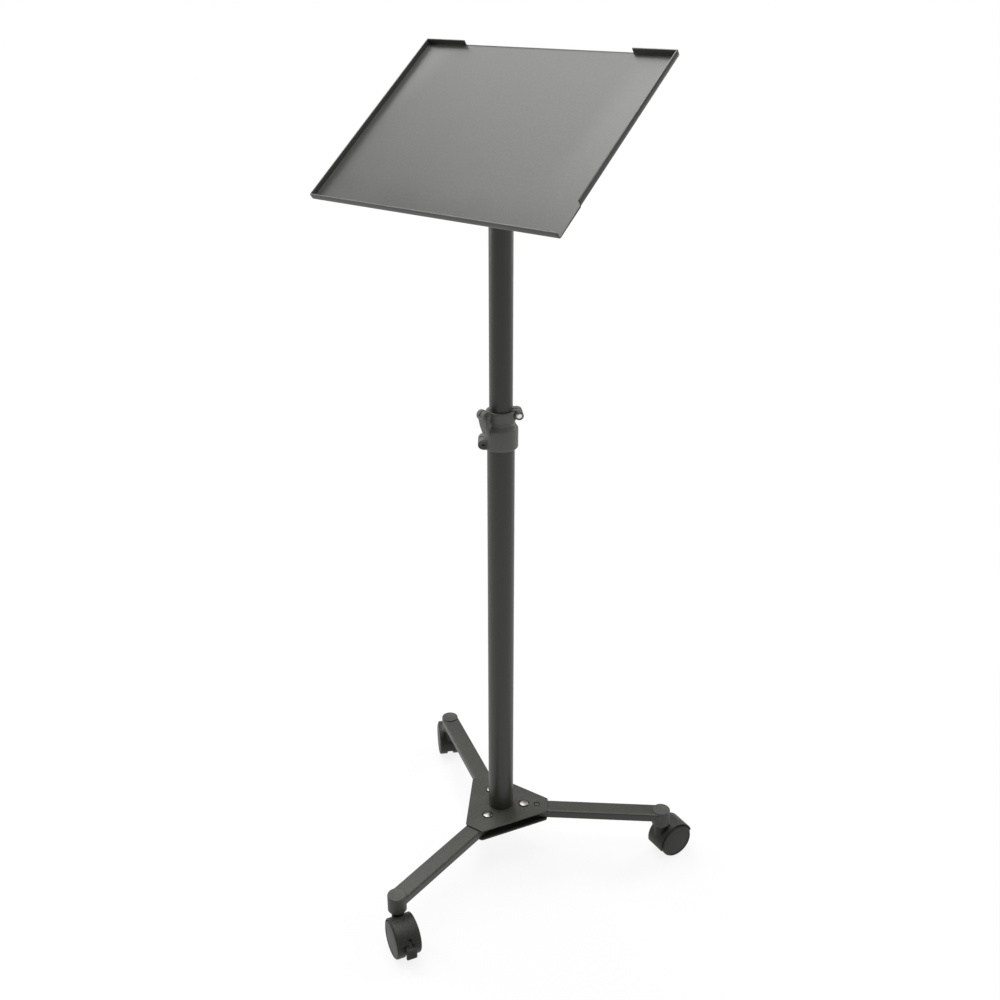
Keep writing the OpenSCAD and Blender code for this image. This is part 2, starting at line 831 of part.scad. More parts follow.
placed() base_plate(leg_top, leg_bolt_hole_d);  // base_plate_top
placed() base_plate(leg_bottom - plate_t, plate_bolt_d);  // base_plate_bottom
placed() leg(0);  // leg_front
placed() leg(1);  // leg_right
placed() leg(2);  // leg_left
placed() leg_end(0);  // leg_end_front
placed() leg_end(1);  // leg_end_right
placed() leg_end(2);  // leg_end_left
placed() leg_bolt(0);  // leg_bolt_front
placed() leg_bolt(1);  // leg_bolt_right
placed() leg_bolt(2);  // leg_bolt_left
placed() locating_rivet();
placed() castor_stem(0);  // castor_stem_front
placed() castor_hood(0);  // castor_hood_front
placed() castor_axle(0);  // castor_axle_front
placed() castor_wheel(0, 1);  // wheel_front_a
placed() castor_wheel(0, -1);  // wheel_front_b
placed() brake_lever(0);  // brake_lever_front
placed() castor_stem(1);  // castor_stem_right
placed() castor_hood(1);  // castor_hood_right
placed() castor_axle(1);  // castor_axle_right
placed() castor_wheel(1, 1);  // wheel_right_a
placed() castor_wheel(1, -1);  // wheel_right_b
placed() brake_lever(1);  // brake_lever_right
placed() castor_stem(2);  // castor_stem_left
placed() castor_hood(2);  // castor_hood_left
placed() castor_axle(2);  // castor_axle_left
placed() castor_wheel(2, 1);  // wheel_left_a
placed() castor_wheel(2, -1);  // wheel_left_b
placed() brake_lever(2);  // brake_lever_left
placed() lower_tube();
placed() clamp_body();
placed() collar_bolt();
placed() ring_bolt();
placed() clamp_lever();
placed() lever_pin();
placed() guide_bush();
placed() upper_tube();
placed() tilt_head();
placed() tilt_bracket();
placed() tilt_bolt();
placed() tilt_knob();
placed() tray();
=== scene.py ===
import json
import math

import bmesh
import bpy
from mathutils import Matrix, Vector


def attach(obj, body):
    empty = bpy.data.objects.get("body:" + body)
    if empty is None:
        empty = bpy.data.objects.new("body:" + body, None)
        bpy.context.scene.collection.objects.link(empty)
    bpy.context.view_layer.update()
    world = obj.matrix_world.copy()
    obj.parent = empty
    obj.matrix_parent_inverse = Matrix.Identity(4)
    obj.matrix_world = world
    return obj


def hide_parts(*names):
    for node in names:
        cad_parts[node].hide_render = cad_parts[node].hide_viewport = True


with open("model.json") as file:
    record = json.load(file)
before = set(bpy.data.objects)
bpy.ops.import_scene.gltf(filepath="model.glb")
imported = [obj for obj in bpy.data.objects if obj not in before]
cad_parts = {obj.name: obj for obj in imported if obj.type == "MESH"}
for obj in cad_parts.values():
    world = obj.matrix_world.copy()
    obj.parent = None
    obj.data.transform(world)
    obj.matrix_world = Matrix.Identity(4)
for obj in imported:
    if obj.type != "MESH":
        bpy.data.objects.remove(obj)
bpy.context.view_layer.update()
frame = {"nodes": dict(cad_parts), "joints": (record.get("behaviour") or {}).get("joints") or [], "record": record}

cadNodes = frame["nodes"]
jointByName = {joint["name"]: joint for joint in frame["joints"]}
poleFoot = Vector(jointByName["pole_turn"]["pos_m"][:2] + [0])
tiltPoint = Vector(jointByName["tray_tilt"]["pos_m"])


# Selection and edit mode

def clearSelection():
    if bpy.context.object and bpy.context.object.mode != "OBJECT":
        bpy.ops.object.mode_set(mode="OBJECT")
    bpy.ops.object.select_all(action="DESELECT")


def makeActive(piece):
    clearSelection()
    piece.select_set(True)
    bpy.context.view_layer.objects.active = piece


def startEdit(piece, kind="FACE"):
    makeActive(piece)
    bpy.ops.object.mode_set(mode="EDIT")
    bpy.ops.mesh.select_mode(type=kind)
    bpy.ops.mesh.select_all(action="DESELECT")


def pick(piece, kind, wanted):
    bpy.ops.mesh.select_mode(type=kind)
    bpy.ops.mesh.select_all(action="DESELECT")
    sheet = bmesh.from_edit_mesh(piece.data)
    parts = {"VERT": sheet.verts, "EDGE": sheet.edges, "FACE": sheet.faces}[kind]
    parts.ensure_lookup_table()
    for part in parts:
        if wanted(part):
            part.select_set(True)
    bmesh.update_edit_mesh(piece.data)


def endEdit():
    bpy.ops.object.mode_set(mode="OBJECT")


def middle(edge):
    return (edge.verts[0].co + edge.verts[1].co) / 2


def applyModifier(piece, kind, **settings):
    modifier = piece.modifiers.new(kind.lower(), kind)
    for key, value in settings.items():
        setattr(modifier, key, value)
    makeActive(piece)
    bpy.ops.object.modifier_apply(modifier=modifier.name)


def applyPlace(piece):
    makeActive(piece)
    bpy.ops.object.transform_apply(location=True, rotation=True, scale=True)


def turnMesh(piece, matrix):
    piece.data.transform(matrix)
    piece.data.update()


def finishPiece(piece, name, body, material, stands=(), smooth=32):
    applyPlace(piece)
    bpy.ops.object.shade_smooth_by_angle(angle=math.radians(smooth))
    piece.name = name
    piece.data.name = name
    piece.data.materials.clear()
    piece.data.materials.append(material)
    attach(piece, body)
    if stands:
        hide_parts(*stands)
    return piece


# Shared shader groups

def newGroup(name, inputs, outputs):
    group = bpy.data.node_groups.new(name, "ShaderNodeTree")
    for label, kind, value in inputs:
        socket = group.interface.new_socket(name=label, in_out="INPUT", socket_type=kind)
        socket.default_value = value
    for label, kind in outputs:
        group.interface.new_socket(name=label, in_out="OUTPUT", socket_type=kind)
    return group, group.nodes.new("NodeGroupInput"), group.nodes.new("NodeGroupOutput")


def addNode(tree, kind, **settings):
    node = tree.nodes.new(kind)
    for key, value in settings.items():
        setattr(node, key, value)
    return node


def mathNode(tree, operation, first, second=None, clamp=False):
    node = addNode(tree, "ShaderNodeMath", operation=operation, use_clamp=clamp)
    for socket, value in zip(node.inputs, (first, second)):
        if value is None:
            continue
        if hasattr(value, "is_linked"):
            tree.links.new(value, socket)
        else:
            socket.default_value = value
    return node.outputs[0]


edgeHighlightPlan = {"gain": 6.0, "patchScale": 160, "patchDetail": 5, "patchLow": 0.38, "patchHigh": 0.62}
dustPlan = {"speckScale": 420, "speckDetail": 6, "speckLow": 0.42, "speckHigh": 0.75, "slopeLow": 0.35,
            "slopeHigh": 1.0}
turnedPlan = {"stretch": (1, 1, 22), "lineDetail": 4, "spotScale": 240}


# Painted highlight: a lighter edge colour is laid along rounded edges, found where the bevel normal leaves the true
# normal, and broken up by noise
def makeEdgeHighlight(plan):
    group, take, give = newGroup(
        "paintedEdgeHighlight", [("Width", "NodeSocketFloat", 0.0006), ("Breakup", "NodeSocketFloat", 0.5)],
        [("Mask", "NodeSocketFloat")])
    links = group.links
    rounded = addNode(group, "ShaderNodeBevel", samples=4)
    links.new(take.outputs["Width"], rounded.inputs["Radius"])
    facing = addNode(group, "ShaderNodeNewGeometry")
    compare = addNode(group, "ShaderNodeVectorMath", operation="DOT_PRODUCT")
    links.new(rounded.outputs[0], compare.inputs[0])
    links.new(facing.outputs["True Normal"], compare.inputs[1])
    ridge = mathNode(group, "MULTIPLY", mathNode(group, "SUBTRACT", 1.0, compare.outputs["Value"]), plan["gain"], True)
    place = addNode(group, "ShaderNodeTexCoord")
    patches = addNode(group, "ShaderNodeTexNoise")
    patches.inputs["Scale"].default_value = plan["patchScale"]
    patches.inputs["Detail"].default_value = plan["patchDetail"]
    links.new(place.outputs["Object"], patches.inputs["Vector"])
    broken = addNode(group, "ShaderNodeMapRange")
    broken.inputs["From Min"].default_value = plan["patchLow"]
    broken.inputs["From Max"].default_value = plan["patchHigh"]
    links.new(patches.outputs[0], broken.inputs["Value"])
    even = mathNode(group, "SUBTRACT", 1.0, take.outputs["Breakup"])
    uneven = mathNode(group, "ADD", even, mathNode(group, "MULTIPLY", broken.outputs[0], take.outputs["Breakup"]))
    links.new(mathNode(group, "MULTIPLY", ridge, uneven, True), give.inputs["Mask"])
    return group


def makeCoatGrain():
    group, take, give = newGroup(
        "coatGrain", [("Grain Scale", "NodeSocketFloat", 900.0), ("Blotch Scale", "NodeSocketFloat", 14.0)],
        [("Height", "NodeSocketFloat"), ("Tone", "NodeSocketFloat")])
    links = group.links
    place = addNode(group, "ShaderNodeTexCoord")
    grain = addNode(group, "ShaderNodeTexNoise")
    grain.inputs["Detail"].default_value = 3
    links.new(place.outputs["Object"], grain.inputs["Vector"])
    links.new(take.outputs["Grain Scale"], grain.inputs["Scale"])
    blotch = addNode(group, "ShaderNodeTexNoise")
    blotch.inputs["Detail"].default_value = 4
    blotch.inputs["Roughness"].default_value = 0.6
    links.new(place.outputs["Object"], blotch.inputs["Vector"])
    links.new(take.outputs["Blotch Scale"], blotch.inputs["Scale"])
    links.new(grain.outputs[0], give.inputs["Height"])
    fine = mathNode(group, "MULTIPLY", grain.outputs[0], 0.35)
    broad = mathNode(group, "MULTIPLY", blotch.outputs[0], 0.65)
    links.new(mathNode(group, "ADD", fine, broad), give.inputs["Tone"])
    return group


def makeDustFilm(plan):
    group, take, give = newGroup("dustFilm", [("Amount", "NodeSocketFloat", 0.2)], [("Mask", "NodeSocketFloat")])
    links = group.links
    facing = addNode(group, "ShaderNodeNewGeometry")
    upward = addNode(group, "ShaderNodeSeparateXYZ")
    links.new(facing.outputs["Normal"], upward.inputs[0])
    place = addNode(group, "ShaderNodeTexCoord")
    specks = addNode(group, "ShaderNodeTexNoise")
    specks.inputs["Scale"].default_value = plan["speckScale"]
    specks.inputs["Detail"].default_value = plan["speckDetail"]
    links.new(place.outputs["Object"], specks.inputs["Vector"])
    lying = addNode(group, "ShaderNodeMapRange")
    lying.inputs["From Min"].default_value = plan["slopeLow"]
    lying.inputs["From Max"].default_value = plan["slopeHigh"]
    links.new(upward.outputs["Z"], lying.inputs["Value"])
    grains = addNode(group, "ShaderNodeMapRange")
    grains.inputs["From Min"].default_value = plan["speckLow"]
    grains.inputs["From Max"].default_value = plan["speckHigh"]
    links.new(specks.outputs[0], grains.inputs["Value"])
    film = mathNode(group, "MULTIPLY", lying.outputs[0], grains.outputs[0])
    links.new(mathNode(group, "MULTIPLY", film, take.outputs["Amount"], True), give.inputs["Mask"])
    return group


def makeTurnedGrain(plan):
    group, take, give = newGroup("turnedGrain", [("Scale", "NodeSocketFloat", 60.0)],
                                 [("Height", "NodeSocketFloat"), ("Tone", "NodeSocketFloat")])
    links = group.links
    place = addNode(group, "ShaderNodeTexCoord")
    stretch = addNode(group, "ShaderNodeMapping")
    stretch.inputs["Scale"].default_value = plan["stretch"]
    links.new(place.outputs["Object"], stretch.inputs["Vector"])
    lines = addNode(group, "ShaderNodeTexNoise")
    lines.inputs["Detail"].default_value = plan["lineDetail"]
    links.new(stretch.outputs[0], lines.inputs["Vector"])
    links.new(take.outputs["Scale"], lines.inputs["Scale"])
    spots = addNode(group, "ShaderNodeTexNoise")
    spots.inputs["Scale"].default_value = plan["spotScale"]
    links.new(place.outputs["Object"], spots.inputs["Vector"])
    links.new(lines.outputs[0], give.inputs["Height"])
    links.new(mathNode(group, "MULTIPLY", lines.outputs[0], spots.outputs[0]), give.inputs["Tone"])
    return group


paintedEdgeHighlight = makeEdgeHighlight(edgeHighlightPlan)
coatGrain = makeCoatGrain()
dustFilm = makeDustFilm(dustPlan)
turnedGrain = makeTurnedGrain(turnedPlan)
print("shader groups ready")


# Materials

def placeGroup(tree, group, **values):
    node = addNode(tree, "ShaderNodeGroup", node_tree=group)
    for key, value in values.items():
        node.inputs[key].default_value = value
    return node


def mixColour(tree, factor, first, second):
    node = addNode(tree, "ShaderNodeMix", data_type="RGBA")
    sockets = {"factor": node.inputs[0], "first": node.inputs[6], "second": node.inputs[7]}
    for key, value in (("factor", factor), ("first", first), ("second", second)):
        if hasattr(value, "is_linked"):
            tree.links.new(value, sockets[key])
        elif key == "factor":
            sockets[key].default_value = value
        else:
            sockets[key].default_value = (*value, 1)
    return node.outputs[2]


def spread(tree, value, low, high, fromLow=0.3, fromHigh=0.7):
    node = addNode(tree, "ShaderNodeMapRange")
    node.inputs["From Min"].default_value = fromLow
    node.inputs["From Max"].default_value = fromHigh
    node.inputs["To Min"].default_value = low
    node.inputs["To Max"].default_value = high
    tree.links.new(value, node.inputs["Value"])
    return node.outputs[0]


dustColour = (0.42, 0.41, 0.38)


def coatedFinish(name, look):
    material = bpy.data.materials.new(name)
    material.use_nodes = True
    tree = material.node_tree
    shader = tree.nodes["Principled BSDF"]
    grain = placeGroup(tree, coatGrain, **{"Grain Scale": look["grainScale"], "Blotch Scale": look["blotchScale"]})
    edgeHighlight = placeGroup(tree, paintedEdgeHighlight, Width=look["edgeHighlightWidth"], Breakup=look["breakup"])
    dust = placeGroup(tree, dustFilm, Amount=look["dust"])
    base = mixColour(tree, spread(tree, grain.outputs["Tone"], 0, 1), look["dark"], look["light"])
    # Painted highlight: the edges take the lighter edge colour
    highlighted = mixColour(tree, mathNode(tree, "MULTIPLY", edgeHighlight.outputs["Mask"], look["edgeHighlightStrength"]), base, look["edge"])
    dusted = mixColour(tree, dust.outputs["Mask"], highlighted, dustColour)
    tree.links.new(dusted, shader.inputs["Base Color"])
    rough = spread(tree, grain.outputs["Tone"], look["roughLow"], look["roughHigh"])
    dulled = mathNode(tree, "ADD", rough, mathNode(tree, "MULTIPLY", dust.outputs["Mask"], 0.5), True)
    tree.links.new(dulled, shader.inputs["Roughness"])
    bump = addNode(tree, "ShaderNodeBump")
    bump.inputs["Strength"].default_value = look["bump"]
    bump.inputs["Distance"].default_value = look["depth"]
    tree.links.new(grain.outputs["Height"], bump.inputs["Height"])
    tree.links.new(bump.outputs["Normal"], shader.inputs["Normal"])
    shader.inputs["Specular IOR Level"].default_value = look["specular"]
    return material


def metalFinish(name, look):
    material = bpy.data.materials.new(name)
    material.use_nodes = True
    tree = material.node_tree
    shader = tree.nodes["Principled BSDF"]
    grain = placeGroup(tree, turnedGrain, Scale=look["grainScale"])
    edgeHighlight = placeGroup(tree, paintedEdgeHighlight, Width=look["edgeHighlightWidth"], Breakup=0.3)
    base = mixColour(tree, spread(tree, grain.outputs["Tone"], 0, 1, 0.15, 0.4), look["dark"], look["light"])
    # Painted highlight: the edges take the lighter edge colour
    highlighted = mixColour(tree, mathNode(tree, "MULTIPLY", edgeHighlight.outputs["Mask"], 0.5), base, look["edge"])
    tree.links.new(highlighted, shader.inputs["Base Color"])
    rough = spread(tree, grain.outputs["Height"], look["roughLow"], look["roughHigh"])
    tree.links.new(rough, shader.inputs["Roughness"])
    bump = addNode(tree, "ShaderNodeBump")
    bump.inputs["Strength"].default_value = 0.25
    bump.inputs["Distance"].default_value = 0.00005
    tree.links.new(grain.outputs["Height"], bump.inputs["Height"])
    tree.links.new(bump.outputs["Normal"], shader.inputs["Normal"])
    shader.inputs["Metallic"].default_value = 1
    return material


# Each look's edge colour is a painted highlight along the edges
framePaintLook = {"dark": (0.036, 0.037, 0.029), "light": (0.049, 0.050, 0.040), "edge": (0.16, 0.16, 0.145),
                  "edgeHighlightStrength": 0.45, "edgeHighlightWidth": 0.0006, "breakup": 0.35, "grainScale": 1100, "blotchScale": 16,
                  "roughLow": 0.36, "roughHigh": 0.46, "bump": 0.35, "depth": 0.00006, "dust": 0.05, "specular": 0.5}
trayPaintLook = {**framePaintLook, "dark": (0.058, 0.059, 0.054), "light": (0.072, 0.072, 0.067), "roughLow": 0.3,
                 "roughHigh": 0.4, "grainScale": 1500, "blotchScale": 9, "bump": 0.2, "dust": 0.06}
castPaintLook = {**framePaintLook, "dark": (0.158, 0.161, 0.146), "light": (0.212, 0.214, 0.197),
                 "edge": (0.42, 0.42, 0.40), "roughLow": 0.5, "roughHigh": 0.62, "grainScale": 700, "bump": 0.6,
                 "depth": 0.00012, "dust": 0.08}
legPlasticLook = {**framePaintLook, "dark": (0.050, 0.051, 0.045), "light": (0.068, 0.069, 0.061), "roughLow": 0.48,
                  "roughHigh": 0.58, "grainScale": 800, "bump": 0.5, "dust": 0.05}
castorPlasticLook = {**framePaintLook, "dark": (0.023, 0.023, 0.021), "light": (0.035, 0.035, 0.031),
                     "edge": (0.13, 0.13, 0.12), "specular": 0.3, "roughLow": 0.42, "roughHigh": 0.55,
                     "grainScale": 1300, "blotchScale": 40, "bump": 0.4, "dust": 0.1}
knobPlasticLook = {**castorPlasticLook, "dark": (0.018, 0.018, 0.018), "light": (0.026, 0.026, 0.026), "dust": 0.04}
zincLook = {"dark": (0.29, 0.275, 0.255), "light": (0.46, 0.44, 0.415), "edge": (0.66, 0.65, 0.62),
            "edgeHighlightWidth": 0.0004, "grainScale": 90, "roughLow": 0.28, "roughHigh": 0.42}
# A lit copy of the zinc, painted lighter to give the ring screw's end a painted glint; the leg bolts keep the darker
# zinc
glintPaintedZincLook = {**zincLook, "dark": (0.70, 0.70, 0.68), "light": (0.92, 0.92, 0.90), "roughLow": 0.3,
                  "roughHigh": 0.4}
blackZincLook = {**zincLook, "dark": (0.045, 0.046, 0.043), "light": (0.10, 0.10, 0.096), "edge": (0.35, 0.35, 0.34),
                 "roughLow": 0.22, "roughHigh": 0.34}

framePaint = coatedFinish("framePaint", framePaintLook)
trayPaint = coatedFinish("trayPaint", trayPaintLook)
castPaint = coatedFinish("castPaint", castPaintLook)
legPlastic = coatedFinish("legPlastic", legPlasticLook)
castorPlastic = coatedFinish("castorPlastic", castorPlasticLook)
knobPlastic = coatedFinish("knobPlastic", knobPlasticLook)
zincPlate = metalFinish("zincPlate", zincLook)
glintPaintedZinc = metalFinish("glintPaintedZinc", glintPaintedZincLook)
blackZinc = metalFinish("blackZinc", blackZincLook)
slotMaterial = {"frame_paint": framePaint, "tray_paint": trayPaint, "cast_paint": castPaint, "moulding": legPlastic,
                "castor_plastic": castorPlastic, "black_plastic": knobPlastic, "zinc": zincPlate}
for subpart in frame["record"]["subparts"]:
    cad = cadNodes[subpart["node"]]
    cad.data.materials.clear()
    cad.data.materials.append(slotMaterial[subpart["material_slot"]])
print("materials ready")


# Tray: one sheet, its lips folded up, then given its thickness

traySize = {"width": 0.356, "length": 0.263, "sheet": 0.0015, "height": 0.0084, "bend": 0.0021, "backLeft": 0.060,
            "backRight": 0.057, "sideGap": 0.045, "rise": 0.0375, "tilt": 37.6, "edge": 0.00035, "flatRim": 0.0006}


def cutAlong(cuts):
    for point, normal in cuts:
        bpy.ops.mesh.select_all(action="SELECT")
        bpy.ops.mesh.bisect(plane_co=point, plane_no=normal)


def makeTray(size):
    halfWidth, halfLength = size["width"] / 2, size["length"] / 2
    across, along = (1, 0, 0), (0, 1, 0)
    clearSelection()
    bpy.ops.mesh.primitive_plane_add(size=1)
    sheet = bpy.context.object
    sheet.scale = (size["width"], size["length"], 1)
    applyPlace(sheet)
    startEdit(sheet)
    cutAlong([((-halfWidth + size["backLeft"], 0, 0), across), ((halfWidth - size["backRight"], 0, 0), across),
              ((0, -halfLength + size["sideGap"], 0), along)])

    def liesOnLip(edge):
        if len(edge.link_faces) != 1:
            return False
        x, y = middle(edge).xy
        openBack = y > halfLength - 1e-5 and -halfWidth + size["backLeft"] < x < halfWidth - size["backRight"]
        openSide = x > halfWidth - 1e-5 and y < -halfLength + size["sideGap"]
        return not openBack and not openSide

    def isFold(edge):
        return len(edge.link_faces) == 2 and abs(edge.calc_face_angle(0)) > 1 and middle(edge).z < 1e-5

    pick(sheet, "EDGE", liesOnLip)
    bpy.ops.mesh.extrude_edges_move(TRANSFORM_OT_translate={"value": (0, 0, size["height"])})
    pick(sheet, "EDGE", isFold)
    bpy.ops.mesh.bevel(offset=size["bend"], segments=6, affect="EDGES")
    # Cuts beside the folds keep the floor of the tray shaded flat
    rim = size["bend"] + size["flatRim"]
    cutAlong([((halfWidth - rim, 0, 0), across), ((rim - halfWidth, 0, 0), across),
              ((0, halfLength - rim, 0), along), ((0, rim - halfLength, 0), along)])
    endEdit()
    applyModifier(sheet, "SOLIDIFY", thickness=size["sheet"], offset=1, use_even_offset=True)
    applyModifier(sheet, "BEVEL", width=size["edge"], segments=2, limit_method="ANGLE", angle_limit=math.radians(50))
    tilt = Matrix.Rotation(math.radians(size["tilt"]), 4, "X")
    turnMesh(sheet, Matrix.Translation(tiltPoint) @ tilt @ Matrix.Translation((0, 0, size["rise"])))
    return finishPiece(sheet, "traySheet", "tray", trayPaint, ["tray"])


makeTray(traySize)
print("tray made")


# Outlines drawn point by point in millimetres, then filled and pulled, or spun

def drawLine(points):
    clearSelection()
    bpy.ops.mesh.primitive_plane_add(size=1)
    piece = bpy.context.object
    startEdit(piece, "VERT")
    bpy.ops.mesh.select_all(action="SELECT")
    bpy.ops.mesh.merge(type="CENTER")
    bpy.ops.transform.translate(value=points[0])
    for start, end in zip(points, points[1:]):
        step = [after - before for before, after in zip(start, end)]
        bpy.ops.mesh.extrude_vertices_move(TRANSFORM_OT_translate={"value": step})
    bpy.ops.mesh.select_all(action="SELECT")
    return piece


def pullShape(points, depth, corner=0, steps=5):
    piece = drawLine([(x, y, -depth / 2) for x, y in points])
    bpy.ops.mesh.edge_face_add()
    if corner:
        bpy.ops.mesh.bevel(offset=corner, segments=steps, affect="VERTICES")
        bpy.ops.mesh.select_all(action="SELECT")
    bpy.ops.mesh.extrude_region_move(TRANSFORM_OT_translate={"value": (0, 0, depth)})
    bpy.ops.mesh.select_all(action="SELECT")
    bpy.ops.mesh.normals_make_consistent(inside=False)
    endEdit()
    return piece


def turnShape(profile, steps=72, hollow=False):
    points = [(radius, 0, height) for radius, height in profile]
    piece = drawLine(points + points[:1] if hollow else points)
    bpy.ops.mesh.spin(steps=steps, angle=2 * math.pi, center=(0, 0, 0), axis=(0, 0, 1))
    bpy.ops.mesh.select_all(action="SELECT")
    bpy.ops.mesh.remove_doubles(threshold=0.0005)
    bpy.ops.mesh.normals_make_consistent(inside=False)
    endEdit()
    return piece


def arcPoints(centreX, centreY, radius, start, end, steps):
    angles = [math.radians(start + (end - start) * step / steps) for step in range(steps + 1)]
    return [(centreX + radius * math.cos(angle), centreY + radius * math.sin(angle)) for angle in angles]


def addRod(radius, length, place=Matrix(), sides=64):
    clearSelection()
    bpy.ops.mesh.primitive_cylinder_add(radius=radius, depth=length, vertices=sides)
    rod = bpy.context.object
    turnMesh(rod, place)
    return rod


def addBlock(low, high, place=Matrix()):
    clearSelection()
    bpy.ops.mesh.primitive_cube_add(size=1)
    block = bpy.context.object
    block.scale = [top - bottom for bottom, top in zip(low, high)]
    block.location = [(top + bottom) / 2 for bottom, top in zip(low, high)]
    applyPlace(block)
    turnMesh(block, place)
    return block


def joinSolid(piece, kind, others):
    for other in others:
        applyModifier(piece, "BOOLEAN", operation=kind, object=other, solver="EXACT")
        bpy.data.objects.remove(other)


def softEdges(piece, width, angle=35, segments=2):
    applyModifier(piece, "BEVEL", width=width, segments=segments, limit_method="ANGLE",
                  angle_limit=math.radians(angle))


def copyOf(piece):
    twin = piece.copy()
    twin.data = piece.data.copy()
    bpy.context.scene.collection.objects.link(twin)
    return twin


def shift(x=0, y=0, z=0):
    return Matrix.Translation((x, y, z))


def turned(degrees, axis="Z"):
    return Matrix.Rotation(math.radians(degrees), 4, axis)


toMetres = Matrix.Scale(0.001, 4)
poleFrame = Matrix.Translation(poleFoot) @ toMetres
alongY = turned(90, "X")


# Base plates with their bolt, rivet and pole holes

baseSize = {"headings": (274.75, 34.75, 154.75), "turns": (-2.0, 0.7, -5.7), "circle": 33.2, "reach": 67.5,
            "corner": 27.5, "round": 2.5, "sheet": 2, "topZ": 79, "bottomZ": 64.5, "seatZ": 78, "headHole": 8,
            "shankHole": 4.2, "poleHole": 13.5, "rivetHole": 4.7, "rivetReach": 52, "edge": 0.3, "smooth": 20}
legNames = ("front", "right", "left")


def makePlate(size, node, height, hole):
    points = []
    for heading in size["headings"]:
        for side in (-0.5, 0.5):
            corner = turned(heading) @ Vector((size["reach"], side * size["corner"], 0))
            points.append(corner.xy)
    plate = pullShape(points, size["sheet"], size["round"])
    cutters = [addRod(hole, 8, turned(heading) @ shift(size["circle"])) for heading in size["headings"]]
    rivetHole = addRod(size["rivetHole"], 8, turned(size["headings"][1]) @ shift(size["rivetReach"]))
    joinSolid(plate, "DIFFERENCE", cutters + [rivetHole, addRod(size["poleHole"], 8)])
    softEdges(plate, size["edge"])
    turnMesh(plate, poleFrame @ shift(z=height))
    name = node.replace("base_plate_", "plate")
    return finishPiece(plate, name, "base", framePaint, [node], size["smooth"])


makePlate(baseSize, "base_plate_top", baseSize["topZ"], baseSize["headHole"])
makePlate(baseSize, "base_plate_bottom", baseSize["bottomZ"], baseSize["shankHole"])
print("base plates made")


# Leg bolts with low domed heads, and the locating rivet sunk in the plate

boltSize = {"head": 6.7, "height": 3.6, "shank": 4, "bottom": -20.5, "nut": 7.5, "nutTop": -14.5, "nutHeight": 5,
            "edge": 0.35, "turn": 17}


def makeLegBolt(size):
    dome = [(0, size["height"]), (2, size["height"] - 0.05), (4, size["height"] - 0.25), (5.2, size["height"] - 0.5)]
    dome += arcPoints(size["head"] - 1, size["height"] - 1.6, 1, 75, 0, 5)
    bolt = turnShape(dome + [(size["head"], 0), (size["shank"], 0), (size["shank"], size["bottom"] + 0.6),
                             (size["shank"] - 0.6, size["bottom"]), (0, size["bottom"])], 48)
    nut = addRod(size["nut"], size["nutHeight"], shift(z=size["nutTop"] - size["nutHeight"] / 2), 6)
    joinSolid(bolt, "UNION", [nut])
    softEdges(bolt, size["edge"], 50)
    return bolt


legBolt = makeLegBolt(boltSize)
for leg, heading in zip(legNames, baseSize["headings"]):
    bolt = copyOf(legBolt)
    seat = shift(baseSize["circle"], 0, baseSize["seatZ"])
    turnMesh(bolt, poleFrame @ turned(heading) @ seat @ turned(boltSize["turn"]))
    finishPiece(bolt, f"legBolt{leg.title()}", "base", zincPlate, [f"leg_bolt_{leg}"])
bpy.data.objects.remove(legBolt)

rivetSize = {"head": 3.9, "height": 2.7, "shank": 2.4, "depth": -1.4}


def makeRivet(size):
    head, shank, top, foot = size["head"], size["shank"], size["height"], size["depth"]
    rivet = turnShape([(0, top), (2, top - 0.1), (3.1, top - 0.45), (3.7, top - 1), (head, top - 1.7), (head, 0),
                       (shank, 0), (shank, foot), (0, foot)], 40)
    turnMesh(rivet, poleFrame @ turned(baseSize["headings"][1]) @ shift(baseSize["rivetReach"], 0, baseSize["seatZ"]))
    return finishPiece(rivet, "locatingRivet", "base", framePaint, ["locating_rivet"])


makeRivet(rivetSize)
print("bolts and rivet made")


# Leg ends: an upright boss with a rounded rim and a slightly sunk top

bossSize = {"radius": 12.5, "height": 25, "rim": 1.6, "chamfer": 1.5, "sink": 0.25, "socket": 5.55, "socketDepth": 19,
            "bottom": 55, "plugWidth": 21.6, "plugHeight": 9.1, "plugLength": 24, "plugZ": 16.75, "edge": 0.25}
castorFrames = {}
for leg in legNames:
    swivel = Vector(jointByName[f"castor_{leg}_swivel"]["pos_m"])
    trail = Vector(jointByName[f"wheel_{leg}_a_spin"]["pos_m"]) - swivel
    foot = Matrix.Translation((swivel.x, swivel.y, 0)) @ toMetres
    castorFrames[leg] = foot @ turned(math.degrees(math.atan2(trail.y, trail.x)))


def makeLegEnd(size):
    top, rim, radius = size["height"], size["rim"], size["radius"]
    boss = turnShape([(0, top - size["sink"]), (radius - rim - 2.4, top - size["sink"]), (radius - rim - 1.2, top)]
                     + arcPoints(radius - rim, top - rim, rim, 90, 0, 6)
                     + [(radius, size["chamfer"]), (radius - size["chamfer"], 0), (size["socket"] + 0.6, 0),
                        (size["socket"], 0.6), (size["socket"], size["socketDepth"]), (0, size["socketDepth"])], 80)
    halfWidth, halfHeight = size["plugWidth"] / 2, size["plugHeight"] / 2
    plug = addBlock((-radius - size["plugLength"], -halfWidth, size["plugZ"] - halfHeight),
                    (-size["socket"] - 2, halfWidth, size["plugZ"] + halfHeight))
    joinSolid(boss, "UNION", [plug])
    softEdges(boss, size["edge"], 45)
    return boss


legEnd = makeLegEnd(bossSize)
for leg, heading, turn in zip(legNames, baseSize["headings"], baseSize["turns"]):
    boss = copyOf(legEnd)
    foot = Matrix.Translation(castorFrames[leg].translation) @ toMetres
    turnMesh(boss, foot @ turned(heading + turn) @ shift(z=bossSize["bottom"]))
    finishPiece(boss, f"legEnd{leg.title()}", "base", legPlastic, [f"leg_end_{leg}"])
bpy.data.objects.remove(legEnd)
print("leg ends made")


# Castors: hood, two wheels and brake lever, drawn once with the swivel at the origin and the trail along X

